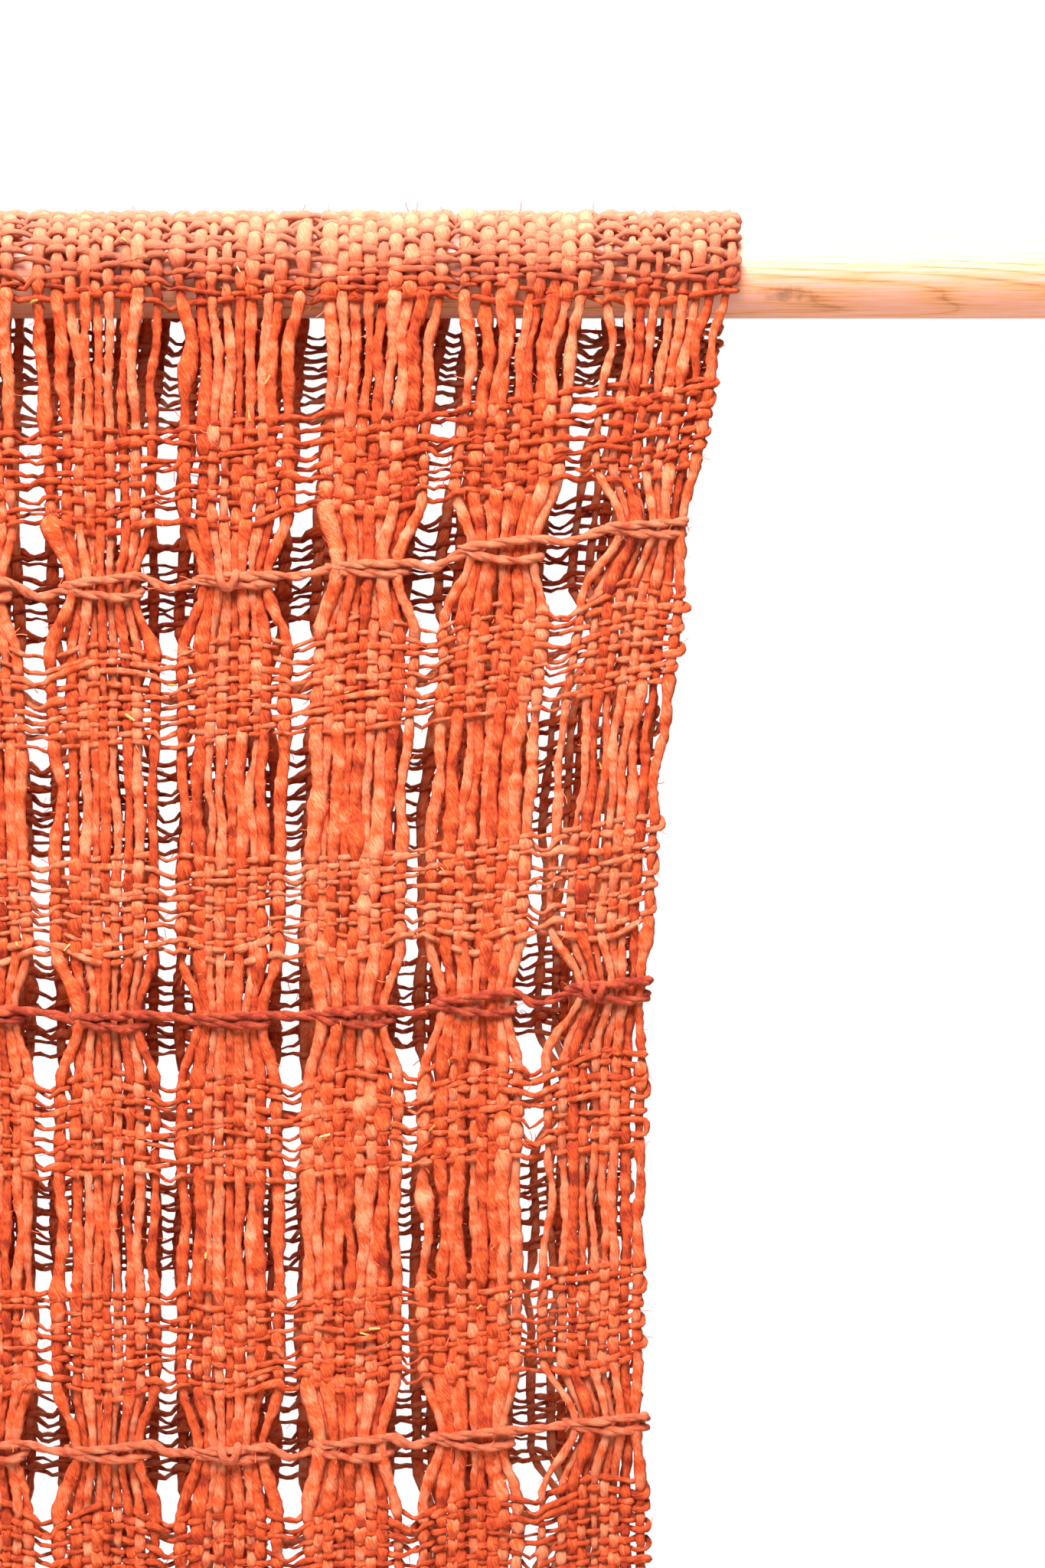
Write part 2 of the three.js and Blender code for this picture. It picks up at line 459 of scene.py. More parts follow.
def spaced_knots(pairs):
    """Knots and values from (knot, value) pairs, without knots that nearly coincide."""
    knots, values = np.array(pairs).T
    keep = np.concatenate([[True], np.diff(knots) > 0.0004])
    return knots[keep], values[keep]


def bundle_coarseness(bundle):
    """How thick a bundle's yarn is for a warp yarn. The selvedges are set with finer yarn."""
    if bundle in (0, BUNDLES - 1):
        return 0.82
    return mix(0.92, 1.08, chance(35, bundle))


def warp_yarn(fall, warp, cloth):
    """One warp from just past the top of the rod down to its knot."""
    knots, passes = warp_crossings(fall, warp, cloth)
    away = stations_between(knots, fall.warp_step)
    way = away * fall.facing
    bundle, place = divmod(warp, cloth.warps_per_bundle)
    drop = way_to_drop(way)
    waist = waist_share(fall, bundle, drop)
    loose = looseness(fall, bundle, drop)
    woven = eased_through(away, knots, passes) * (1 - loose)
    across = place / (cloth.warps_per_bundle - 1) - 0.5
    heaped = 0.0010 * (-1) ** place + 0.0010 * math.cos(math.pi * across)
    out = -WARP_CRIMP * woven + loose * 0.0011 * wobble((4, warp), 0.06, way) + waist * heaped
    thick = cloth.warp_diameter / 2 * bundle_coarseness(bundle) * mix(0.80, 1.16, chance(5, warp))
    on_rod = 1.10 - 0.10 * smooth_between(drop, 0.0, SADDLE_DROP)
    radii = on_rod * thick * slubs((6, warp), way, cloth) * (1 - 0.11 * woven) * (1 - 0.12 * waist)
    points = settle(way, warp_x(fall, warp, way, cloth), out)
    return Yarn(points, radii, chance(9, warp), way)


# ---- weft yarns


def weft_row(fall, row, cloth):
    """(way, x, out, radius) along one row, from the left selvedge to the right one."""
    usual = np.array(row.way_at(0.0))
    crossings = []
    for warp in range(BUNDLES * cloth.warps_per_bundle):
        x = warp_x(fall, warp, usual, cloth)
        crossings.append((float(warp_x(fall, warp, row.way_at(x), cloth)), row.passes(warp)))
    knots, passes = spaced_knots(sorted(crossings))
    x = stations_between(knots, WEFT_STEP)
    way = row.way_at(x)
    between = ladder_share(fall, x, way_to_drop(way))
    seed = row.seed
    hang = 0.0011 + 0.0013 * wobble((*seed, "hang"), 0.028, x)
    crimp = 0.0003 * np.sin(2 * math.pi * x / 0.0062 + 6 * chance(*seed, "crimp"))
    sag = between * (hang + crimp) * (way_to_drop(way) > 0)
    wrapped = np.tanh(2.2 * eased_through(x, knots, passes)) / math.tanh(2.2)
    out = WEFT_CRIMP * wrapped + between * 0.0009 * wobble((*seed, "depth"), 0.016, x)
    on_rod = 1.38 if abs(usual) < QUARTER_TURN else 1.0
    thick = cloth.weft_diameter / 2 * on_rod * mix(0.78, 1.24, chance(*seed, "thick"))
    radii = thick * slubs((*seed, "slubs"), x, cloth) * (1 - 0.30 * between)
    return way + fall.facing * sag, x, out, radii


def ladder_share(fall, x, drop):
    """0 inside a bundle and 1 in the middle of the ladder between two of them."""
    edge = 1 - ladder_at(drop) / pitch_at(drop)
    share = smooth_between(from_bundle_middle(fall, drop, x), edge - 0.05, 0.5 * (1 + edge))
    inside = np.abs(x - drift_at(fall, drop)) < cloth_half_width(drop) - 0.004
    return share * inside


def weft_yarn(fall, rows, cloth):
    """One yarn that goes to and fro through all the rows of a band."""
    stretches = []
    for row in rows:
        stretch = np.column_stack(weft_row(fall, row, cloth))
        if row.number % 2:
            stretch = stretch[::-1]
        if stretches:
            side = 1 if row.number % 2 else -1
            stretches.append(weft_turn(stretches[-1][-1], stretch[0], side, row.seed))
        stretches.append(stretch)
    way, x, out, radii = np.vstack(stretches).T
    return Yarn(settle(way, x, out), radii, chance(*rows[0].seed, "shade"), None)


def weft_turn(before, after, side, seed):
    """The bend in which a weft goes round the outermost warp into the next row."""
    share = np.linspace(0, 1, 7)[1:-1, None]
    turn = mix(before, after, smooth(share))
    reach = mix(0.0004, 0.0022, chance(*seed, "turn") ** 2)
    turn[:, 1] += side * (0.0009 + reach * np.sin(math.pi * share[:, 0]))
    return turn


# ---- tie yarns


def tie_route(fall, level, row):
    """The middle of a tie as (drop, x, out): once round each bundle, and on to the next."""
    outside = 0.0035
    route = []
    for bundle in range(BUNDLES):
        x = float(bundle_x(fall, bundle, level))
        drop = float(lifted(fall, level, x))
        x += float(selvedge_pull(fall, bundle, drop))
        half = TIGHT_WIDTH / 2 + 0.0008
        lower = 0.0014 + 0.0020 * chance(21, row, bundle)
        upper = -0.0008 - 0.0026 * chance(22, row, bundle)
        route += [
            (drop + 0.2 * lower, x - half, 0.0012),
            (drop + 0.6 * lower, x - 0.5 * half, outside * 0.94),
            (drop + lower, x + 0.5 * half, outside),
            (drop + 0.5 * lower, x + half + 0.0008, 0.0),
            (drop, x + 0.5 * half, -outside),
            (drop, x - 0.5 * half, -outside),
            (drop + 0.2 * upper, x - half - 0.0008, 0.0),
            (drop + 0.4 * upper, x - 0.5 * half, outside * 1.12),
            (drop + 0.9 * upper, x + 0.5 * half, outside * 1.16),
            (drop + upper, x + half + 0.0012, 0.0022),
        ]
        if bundle < BUNDLES - 1:
            gap = (x + float(bundle_x(fall, bundle + 1, level))) / 2
            sag = 0.0030 * chance(23, row, bundle) - 0.0008
            route.append((float(lifted(fall, level, gap)) + sag, gap, 0.0016))
    tucked_end = (drop, x + 0.4 * half, -outside)
    return np.array([*route, tucked_end])


def through_points(points, step):
    """A smooth curve through the points, as evenly spaced points on it."""
    padded = np.vstack([2 * points[0] - points[1], points, 2 * points[-1] - points[-2]])
    share = np.linspace(0, 1, 9, endpoint=False)[:, None]
    spans = []
    for a, b, c, d in zip(padded[:-3], padded[1:-2], padded[2:-1], padded[3:]):
        cubic = 2 * b + (c - a) * share + (2 * a - 5 * b + 4 * c - d) * share**2
        spans.append((cubic + (3 * b - a - 3 * c + d) * share**3) / 2)
    dense = np.vstack([*spans, points[-1]])
    length = along_points(dense)
    even = np.linspace(0, length[-1], max(2, round(length[-1] / step)))
    return np.column_stack([np.interp(even, length, axis) for axis in dense.T])


def along_points(points):
    steps = np.linalg.norm(np.diff(points, axis=0), axis=1)
    return np.concatenate([[0], np.cumsum(steps)])


def tie_yarns(fall, level, row, cloth):
    drop, x, out = tie_route(fall, level, row).T
    points = through_points(settle(drop_to_way(fall, drop), x, out), TIE_STEP)
    shade = TIE_SHADES[row % len(TIE_SHADES)]
    seeds = [(24, fall.facing + 1, row, ply) for ply in (0, 1)]
    plies = [Yarn(*tie_ply(points, seed, cloth), shade, None) for seed in seeds]
    knotted = [bundle for bundle in range(BUNDLES) if chance(26, row, bundle) < 0.3]
    knots = [tie_knot(fall, level, row, bundle, cloth) for bundle in knotted]
    return [*plies, *knots]


def tie_ply(points, seed, cloth):
    """Points and radii of one of the two strands that are twisted into a tie yarn."""
    along = along_points(points)
    forward = np.gradient(points, axis=0)
    forward /= np.linalg.norm(forward, axis=1)[:, None]
    side = np.cross(forward, (0, 0, 1))
    side /= np.maximum(np.linalg.norm(side, axis=1), 0.05)[:, None]
    turn = 2 * math.pi * along / PLY_TURN + math.pi * seed[-1]
    apart = cloth.tie_diameter * (0.20 + 0.05 * wobble((*seed, "apart"), 0.02, along))[:, None]
    offset = np.cos(turn)[:, None] * side + np.sin(turn)[:, None] * np.cross(forward, side)
    return points + apart * offset, 0.32 * cloth.tie_diameter * slubs(seed, along, cloth)


def tie_knot(fall, level, row, bundle, cloth):
    """A few turns of yarn pulled tight where a tie was joined on."""
    x = float(bundle_x(fall, bundle, level)) - 0.004 + 0.008 * chance(27, row, bundle)
    drop = float(lifted(fall, level, x))
    turn = np.linspace(0, 2.6 * 2 * math.pi, 30)
    way = drop_to_way(fall, drop + 0.0022 * np.sin(turn))
    route = settle(way, x + 0.0024 * np.cos(0.5 * turn + 0.6), 0.0044 + 0.0018 * np.cos(turn))
    radii = np.full(len(turn), cloth.tie_diameter * 0.44)
    return Yarn(route, radii, TIE_SHADES[row % len(TIE_SHADES)], None)


# ---- the fringe


def knot_middle(fall, bundle):
    drop = knot_drop(fall)
    return np.array([float(bundle_x(fall, bundle, drop)), -fall.facing * FOLD_RADIUS, -drop])


def tassel_yarns(fall, bundle, cloth):
    """The ends of a bundle's warps below its knot."""
    middle = knot_middle(fall, bundle)
    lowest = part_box(f"{fall.name}_tassel_1")[0][2]
    yarns = []
    for number in range(cloth.warps_per_bundle):
        seed = (31, fall.facing + 1, bundle, number)
        angle = 2 * math.pi * (number + 0.7 * chance(*seed, 0)) / cloth.warps_per_bundle
        reach = mix(0.0022, 0.0062, chance(*seed, 1))
        length = (middle[2] - lowest) * mix(0.84, 0.985, chance(*seed, 2))
        share = np.linspace(0, 1, 30)
        spread = mix(0.0016, reach, smooth(share * 1.6))
        swirl = angle + 0.7 * share * (chance(*seed, 3) - 0.3)
        wander = 0.0010 * share
        x = middle[0] + spread * np.cos(swirl) + wander * wobble((*seed, 4), 0.5, share)
        y = middle[1] + spread * np.sin(swirl) + wander * wobble((*seed, 5), 0.5, share)
        z = middle[2] - length * share
        radii = cloth.warp_diameter / 2 * slubs((*seed, 6), length * share, cloth)
        radii = radii * mix(0.95, 0.70, smooth_between(share, 0.9, 1))
        points = np.column_stack([x, y, z])
        yarns.append(Yarn(points, radii, chance(*seed, 7), along_points(points)))
    return yarns


def knot_yarns(fall, bundle, cloth):
    """The overhand knot of a tassel, tied in a few of its yarns at once."""
    middle = knot_middle(fall, bundle)
    turn = np.linspace(0, 2 * math.pi, 64)
    tilt = 2 * math.pi * chance(32, fall.facing + 1, bundle)
    size = KNOT_DIAMETER / 2 - cloth.warp_diameter * 0.55
    yarns = []
    for number in range(3):
        ring = 1 + 0.30 * (number - 1) + 0.45 * np.cos(3 * turn + tilt)
        x = ring * np.cos(2 * turn + tilt) / 1.75 * size
        y = ring * np.sin(2 * turn + tilt) / 1.75 * size
        z = 0.62 * size * np.sin(3 * turn + tilt) + 0.0011 * (number - 1)
        points = middle + np.column_stack([x, y, z])
        run = along_points(points)
        radii = cloth.warp_diameter / 2 * 0.95 * slubs((33, bundle, number), run, cloth)
        yarns.append(Yarn(points, radii, chance(34, bundle, number), run))
    return yarns


# ---- yarns to meshes


@dataclass
class Yarn:
    """A yarn's middle line, its radius at each point, its shade from 0 to 1, and the distance
    run along it at each point, which is None where it is measured from the line's start."""

    points: np.ndarray
    radii: np.ndarray
    shade: float
    run: np.ndarray


def centre_lines(name, yarns):
    """A mesh of the yarns' middle lines, with what the yarn tree needs at each point."""
    counts = [len(yarn.points) for yarn in yarns]
    firsts = np.cumsum([0, *counts[:-1]])
    starts = [np.arange(first, first + count - 1) for first, count in zip(firsts, counts)]
    edges = [np.column_stack([start, start + 1]) for start in starts]
    mesh = bpy.data.meshes.new(name)
    mesh.from_pydata(np.vstack([yarn.points for yarn in yarns]), np.vstack(edges).tolist(), [])
    runs = [along_points(yarn.points) if yarn.run is None else yarn.run for yarn in yarns]
    values = {
        "thickness": np.concatenate([yarn.radii for yarn in yarns]),
        "shade": np.repeat([yarn.shade for yarn in yarns], counts),
        "run": np.concatenate(runs),
    }
    for key, value in values.items():
        attribute = mesh.attributes.new(key, "FLOAT", "POINT")
        attribute.data.foreach_set("value", value.astype(np.float32))
    return mesh


class NodeTree:
    """Adds nodes to a tree and links them, so that a tree reads like a sum."""

    def __init__(self, tree):
        self.tree = tree

    def add(self, kind, values=None, **settings):
        node = self.tree.nodes.new(kind)
        for key, value in settings.items():
            setattr(node, key, value)
        for key, value in (values or {}).items():
            self.set(node.inputs[key], value)
        return node

    def set(self, socket, value):
        if isinstance(value, bpy.types.NodeSocket):
            self.tree.links.new(value, socket)
        else:
            socket.default_value = value

    def math(self, operation, *values):
        node = self.add("ShaderNodeMath", operation=operation)
        for socket, value in zip(node.inputs, values):
            self.set(socket, value)
        return node.outputs[0]

    def vector_math(self, operation, *values):
        node = self.add("ShaderNodeVectorMath", operation=operation)
        for socket, value in zip(node.inputs, values):
            self.set(socket, value)
        return node.outputs[0]

    def scaled(self, vector, scale):
        node = self.add("ShaderNodeVectorMath", {0: vector, "Scale": scale}, operation="SCALE")
        return node.outputs[0]

    def about_zero(self, value, reach):
        """A value from 0 to 1, moved to lie about 0 and spread over the reach."""
        return self.math("MULTIPLY", self.math("SUBTRACT", value, 0.5), reach)

    def noise(self, values, **settings):
        return self.add("ShaderNodeTexNoise", values, **settings).outputs[0]


def random_value(tree, inputs, low, high):
    """A random number or vector between low and high for each point."""
    first, kind = (0, "FLOAT_VECTOR") if isinstance(low, tuple) else (2, "FLOAT")
    values = {first: low, first + 1: high, "Seed": inputs["Seed"]}
    return tree.add("FunctionNodeRandomValue", values, data_type=kind).outputs[first // 2]


def scattered(tree, surface, inputs, density, instance, turn, size):
    """Copies of the instance, placed at random on the surface, turned and sized."""
    spots = tree.add(
        "GeometryNodeDistributePointsOnFaces",
        {"Mesh": surface, "Density": inputs[density], "Seed": inputs["Seed"]},
    ).outputs
    turned = tree.add(
        "FunctionNodeRotateRotation",
        {"Rotation": spots["Rotation"], "Rotate By": turn},
        rotation_space="LOCAL",
    )
    values = {
        "Points": spots["Points"],
        "Instance": instance,
        "Rotation": turned.outputs["Rotation"],
        "Scale": size,
    }
    return tree.add("GeometryNodeInstanceOnPoints", values).outputs["Instances"]


def scattered_hairs(tree, surface, inputs):
    """Short bent hairs that stand up from the yarns at random."""
    bend = tree.add(
        "GeometryNodeCurveQuadraticBezier",
        {"Resolution": 3, "Start": (0, 0, -0.1), "Middle": (0.1, 0, 0.6), "End": (0.6, 0.15, 1.0)},
    )
    ring = tree.add("GeometryNodeCurvePrimitiveCircle", {"Resolution": 3, "Radius": 0.045})
    hair = tree.add(
        "GeometryNodeCurveToMesh",
        {"Curve": bend.outputs["Curve"], "Profile Curve": ring.outputs["Curve"], "Fill Caps": True},
    ).outputs["Mesh"]
    turn = random_value(tree, inputs, (-1.0, -1.0, 0.0), (1.0, 1.0, 6.28))
    length = tree.math("MULTIPLY", random_value(tree, inputs, 0.4, 1.6), inputs["Hair length"])
    return scattered(tree, surface, inputs, "Hairs per area", hair, turn, length)


def scattered_flecks(tree, surface, inputs):
    """Slivers of straw that were spun into the yarns."""
    cone = {"Vertices": 4, "Radius Top": 0.08, "Radius Bottom": 0.13, "Depth": 1.0}
    sliver = tree.add("GeometryNodeMeshCone", cone).outputs["Mesh"]
    flat = tree.add("GeometryNodeTransform", {"Geometry": sliver, "Rotation": (0, 1.45, 0)})
    turn = random_value(tree, inputs, (0.0, -0.3, 0.0), (0.0, 0.3, 6.28))
    size = random_value(tree, inputs, 0.0014, 0.0038)
    flecks = scattered(tree, surface, inputs, "Flecks per area", flat.outputs["Geometry"], turn, size)
    return with_material(tree, flecks, inputs["Straw"])


def with_material(tree, geometry, material):
    values = {"Geometry": geometry, "Material": material}
    return tree.add("GeometryNodeSetMaterial", values).outputs["Geometry"]


def joined(tree, *geometries):
    node = tree.add("GeometryNodeJoinGeometry")
    for geometry in geometries:
        tree.tree.links.new(geometry, node.inputs[0])
    return node.outputs[0]


def realized(tree, geometry):
    return tree.add("GeometryNodeRealizeInstances", {"Geometry": geometry}).outputs["Geometry"]


YARN_INPUTS = (
    ("Centre lines", "NodeSocketGeometry"),
    ("Faces round", "NodeSocketInt"),
    ("Lump height", "NodeSocketFloat"),
    ("Lumps per metre", "NodeSocketFloat"),
    ("Hair length", "NodeSocketFloat"),
    ("Hairs per area", "NodeSocketFloat"),
    ("Flecks per area", "NodeSocketFloat"),
    ("Seed", "NodeSocketInt"),
    ("Cotton", "NodeSocketMaterial"),
    ("Straw", "NodeSocketMaterial"),
)


def make_yarn_tree():
    """The node tree that turns centre lines into lumpy, hairy handspun yarn."""
    group = bpy.data.node_groups.new("Handspun yarn", "GeometryNodeTree")
    for name, kind in YARN_INPUTS:
        group.interface.new_socket(name, in_out="INPUT", socket_type=kind)
    group.interface.new_socket("Yarn", in_out="OUTPUT", socket_type="NodeSocketGeometry")
    tree = NodeTree(group)
    inputs = tree.add("NodeGroupInput").outputs
    surface = lumpy(tree, yarn_tubes(tree, inputs), inputs)
    hairs = scattered_hairs(tree, surface, inputs)
    hairy = realized(tree, joined(tree, hairs, surface))
    flecks = realized(tree, scattered_flecks(tree, surface, inputs))
    whole = joined(tree, flecks, with_material(tree, hairy, inputs["Cotton"]))
    out = tree.add("NodeGroupOutput")
    tree.tree.links.new(whole, out.inputs[0])
    return group


def yarn_tubes(tree, inputs):
    """A tube round each centre line, which keeps the way round it as an attribute."""
    line = tree.add("GeometryNodeMeshToCurve", {"Mesh": inputs["Centre lines"]}).outputs["Curve"]
    stored = tree.add("GeometryNodeInputNamedAttribute", {"Name": "thickness"}, data_type="FLOAT")
    thickness = stored.outputs["Attribute"]
    round_values = {"Resolution": inputs["Faces round"], "Radius": 1.0}
    ring = tree.add("GeometryNodeCurvePrimitiveCircle", round_values).outputs["Curve"]
    around = tree.add("GeometryNodeSplineParameter").outputs["Factor"]
    marked = tree.add(
        "GeometryNodeStoreNamedAttribute",
        {"Geometry": ring, "Name": "around", "Value": around},
        data_type="FLOAT",
        domain="POINT",
    ).outputs["Geometry"]
    values = {"Curve": line, "Profile Curve": marked, "Scale": thickness, "Fill Caps": True}
    tube = tree.add("GeometryNodeCurveToMesh", values)
    return tube.outputs["Mesh"]


def lumpy(tree, tube, inputs):
    """The tube with a smooth but uneven surface."""
    noise = tree.noise({"Scale": inputs["Lumps per metre"], "Detail": 2.0, "Roughness": 0.55})
    height = tree.about_zero(noise, inputs["Lump height"])
    lumps = tree.scaled(tree.add("GeometryNodeInputNormal").outputs["Normal"], height)
    uneven = tree.add("GeometryNodeSetPosition", {"Geometry": tube, "Offset": lumps})
    soft = tree.add("GeometryNodeSetShadeSmooth", {"Geometry": uneven.outputs["Geometry"]})
    return soft.outputs["Geometry"]


def set_tree_input(modifier, name, value):
    """Sets an input of a node modifier, which is stored under its socket's identifier."""
    sockets = modifier.node_group.interface.items_tree
    modifier[next(item.identifier for item in sockets if item.name == name)] = value


def spin(name, yarns, values):
    """The finished mesh object of some yarns."""
    piece = bpy.data.objects.new(name, centre_lines(name, yarns))
    bpy.context.scene.collection.objects.link(piece)
    modifier = piece.modifiers.new("Handspun yarn", "NODES")
    modifier.node_group = bpy.data.node_groups.get("Handspun yarn") or make_yarn_tree()
    for key, value in values.items():
        set_tree_input(modifier, key, value)
    depsgraph = bpy.context.evaluated_depsgraph_get()
    mesh = bpy.data.meshes.new_from_object(
        piece.evaluated_get(depsgraph), preserve_all_data_layers=True, depsgraph=depsgraph
    )
    piece.modifiers.remove(modifier)
    centre = piece.data
    piece.data = mesh
    bpy.data.meshes.remove(centre)
    mesh.name = name
    wrap_yarn(mesh)
    return piece


def wrap_yarn(mesh):
    """A UV map with the way round the yarn as u, from 0 to 1, and the way along it as v."""
    corners = np.empty(len(mesh.loops), np.int32)
    mesh.loops.foreach_get("vertex_index", corners)
    uv = np.empty((len(corners), 2), np.float32)
    for column, name in enumerate(("around", "run")):
        value = np.empty(len(mesh.vertices), np.float32)
        mesh.attributes[name].data.foreach_get("value", value)
        uv[:, column] = value[corners]
    starts = np.empty(len(mesh.polygons), np.int32)
    mesh.polygons.foreach_get("loop_start", starts)
    sizes = np.diff([*starts, len(corners)])
    highest = np.repeat(np.maximum.reduceat(uv[:, 0], starts), sizes)
    lowest = np.repeat(np.minimum.reduceat(uv[:, 0], starts), sizes)
    uv[(highest - lowest > 0.5) & (uv[:, 0] < 0.5), 0] += 1
    layer = mesh.uv_layers.new(name="yarn")
    layer.uv.foreach_set("vector", uv.ravel())


# ---- materials


def material(name, shader_values, **details):
    """The material of this name. It is made the first time, when the function that gives the
    shader's values gets the node tree and the details."""
    made = bpy.data.materials.get(name)
    if made:
        return made
    made = bpy.data.materials.new(name)
    made.use_nodes = True
    made.node_tree.nodes.clear()
    tree = NodeTree(made.node_tree)
    shader = tree.add("ShaderNodeBsdfPrincipled", shader_values(tree, **details))
    out = tree.add("ShaderNodeOutputMaterial")
    tree.tree.links.new(shader.outputs["BSDF"], out.inputs["Surface"])
    return made


def bump(tree, height, strength, distance):
    values = {"Height": height, "Strength": strength, "Distance": distance}
    return tree.add("ShaderNodeBump", values).outputs["Normal"]


def ranged(tree, value, low, high):
    """A value from 0 to 1, spread from low to high."""
    values = {"Value": value, "To Min": low, "To Max": high}
    return tree.add("ShaderNodeMapRange", values).outputs["Result"]


def object_place(tree):
    return tree.add("ShaderNodeTexCoord").outputs["Object"]


def colour_ramp(tree, factor, stops):
    node = tree.add("ShaderNodeValToRGB", {"Fac": factor})
    ramp = node.color_ramp
    while len(ramp.elements) < len(stops):
        ramp.elements.new(0.5)
    for element, (position, colour) in zip(ramp.elements, stops):
        element.position = position
        element.color = (*colour[:3], 1)
    return node.outputs["Color"]


def mix_colour(tree, share, a, b):
    node = tree.add("ShaderNodeMix", data_type="RGBA")
    tree.set(node.inputs[0], share)
    tree.set(node.inputs[6], a)
    tree.set(node.inputs[7], b)
    return node.outputs[2]


def spun_fibres(tree, turns_per_metre):
    """Fine streaks that wind round the yarn, as (streaks, way along, shade)."""
    uv = tree.add("ShaderNodeUVMap", uv_map="yarn").outputs["UV"]
    split = tree.add("ShaderNodeSeparateXYZ", {"Vector": uv}).outputs
    shade = tree.add("ShaderNodeAttribute", attribute_name="shade").outputs["Fac"]
    winding = tree.math("MULTIPLY", split["Y"], turns_per_metre)
    angle = tree.math("MULTIPLY", tree.math("ADD", split["X"], winding), 2 * math.pi)
    ring_values = {
        "X": tree.math("COSINE", angle),
        "Y": tree.math("SINE", angle),
        "Z": tree.math("MULTIPLY", split["Y"], 110.0),
    }
    ring = tree.add("ShaderNodeCombineXYZ", ring_values).outputs["Vector"]
    own = tree.math("MULTIPLY", shade, 60.0)
    values = {"Vector": ring, "W": own, "Scale": 5.2, "Detail": 4.0, "Roughness": 0.66}
    return tree.noise(values, noise_dimensions="4D"), split["Y"], shade


def dye_taken(tree, streaks, along, shade, yarn_spread):
    """How pale the dye is, about 0.5: by yarn, by patches along it, by fibre and by nub."""
    own = tree.math("ADD", tree.math("MULTIPLY", along, 42.0), tree.math("MULTIPLY", shade, 90.0))
    patches = tree.noise({"W": own}, noise_dimensions="1D")
    nubs = tree.noise({"Vector": object_place(tree), "Scale": 290.0, "Detail": 3.0})
    by_yarn = tree.math("ADD", tree.about_zero(shade, yarn_spread), tree.about_zero(patches, 0.75))
    by_fibre = tree.math("ADD", tree.about_zero(streaks, 1.4), tree.about_zero(nubs, 0.8))
    return tree.math("ADD", tree.math("ADD", by_yarn, by_fibre), 0.5)


def cotton_looks(tree, colours, turns_per_metre, yarn_spread):
    """Matt dyed cotton, painted paler on top of the rod as a painted highlight where the light from
    above falls most. Colours are the dark, usual and light shades that the dye took, and the spread is
    how much one yarn's shade differs from another's."""
    streaks, along, shade = spun_fibres(tree, turns_per_metre)
    dark, usual, light = colours
    dye = dye_taken(tree, streaks, along, shade, yarn_spread)
    dyed = colour_ramp(tree, dye, ((0.10, dark), (0.50, usual), (0.92, light)))
    return {
        # Painted highlight: the cotton is mixed towards a paler colour on top of the rod, where the
        # light from above falls most.
        "Base Color": mix_colour(tree, painted_top_light(tree, object_place(tree)), dyed, TOP_LIT_COTTON),
        "Roughness": ranged(tree, streaks, 0.98, 0.80),
        "Normal": bump(tree, streaks, 1.0, 0.0012),
        "Specular IOR Level": 0.15,
        "Sheen Weight": 0.06,
        "Sheen Roughness": 0.55,
        "Sheen Tint": (1.0, 0.72, 0.55, 1.0),
    }


def painted_top_light(tree, place):
    """How much painted highlight a piece gets where the light from above falls most: most on top of the
    rod, and none below it.
    """
    height = tree.add("ShaderNodeSeparateXYZ", {"Vector": place}).outputs["Z"]
    low, high = -0.5 * ROD_RADIUS, 1.4 * ROD_RADIUS
    values = {"Value": height, "From Min": low, "From Max": high, "To Max": 0.68}
    return tree.add("ShaderNodeMapRange", values).outputs["Result"]


def straw_looks(tree, colour):
    patches = tree.noise({"Vector": object_place(tree), "Scale": 900.0, "Detail": 2.0})
    dull = tuple(0.6 * channel for channel in colour[:3])
    return {
        "Base Color": colour_ramp(tree, patches, ((0.3, dull), (0.7, colour))),
        "Normal": bump(tree, patches, 0.3, 0.0002),
        "Roughness": 0.5,
    }


def grain_tone(tree, place):
    """(tone, pores): growth lines that slant along the rod, with fine pores between them."""
    stretched = tree.add("ShaderNodeMapping", {"Vector": place, "Scale": (0.10, 1.0, 1.0)})
    drift = tree.noise({"Vector": stretched.outputs[0], "Scale": 46.0, "Detail": 2.0})
    split = tree.add("ShaderNodeSeparateXYZ", {"Vector": place}).outputs
    depth = tree.math("ADD", tree.math("MULTIPLY", split["Y"], 0.9), split["Z"])
    slant = tree.math("ADD", depth, tree.math("MULTIPLY", split["X"], 0.045))
    slant = tree.math("ADD", slant, tree.math("MULTIPLY", drift, 0.016))
    rings = tree.math("ABSOLUTE", tree.math("SINE", tree.math("MULTIPLY", slant, 1150.0)))
    rings = tree.math("POWER", rings, 0.5)
    fine = tree.add("ShaderNodeMapping", {"Vector": place, "Scale": (0.035, 1.0, 1.0)}).outputs[0]
    pores = tree.noise({"Vector": fine, "Scale": 1700.0, "Detail": 5.0, "Roughness": 0.65})
    tone = tree.math("ADD", tree.math("MULTIPLY", rings, 0.30), tree.math("MULTIPLY", pores, 1.05))
    return tree.math("SUBTRACT", tone, 0.14), pores


def wood_looks(tree, finish):
    """Turned wood with a slanting grain, painted paler on top as a painted highlight, and a few handling
    marks.
    """
    place = object_place(tree)
    tone, pores = grain_tone(tree, place)
    stops = ((0.34, finish.grain_colour), (0.54, finish.wood_colour), (0.76, finish.pale_colour))
    wood = colour_ramp(tree, tone, stops)
    # Painted highlight: the wood is mixed towards a paler colour on top, where the light from above
    # falls most.
    lit_on_top = mix_colour(tree, painted_top_light(tree, place), wood, TOP_LIT_WOOD)
    return {
        "Base Color": mix_colour(tree, handling_marks(tree, place), lit_on_top, STAIN),
        "Roughness": ranged(tree, pores, 0.62, 0.42),
        "Normal": bump(tree, tone, 0.25, 0.0003),
        "Specular IOR Level": 0.5,
        "Coat Weight": 0.15,
        "Coat Roughness": 0.45,
    }


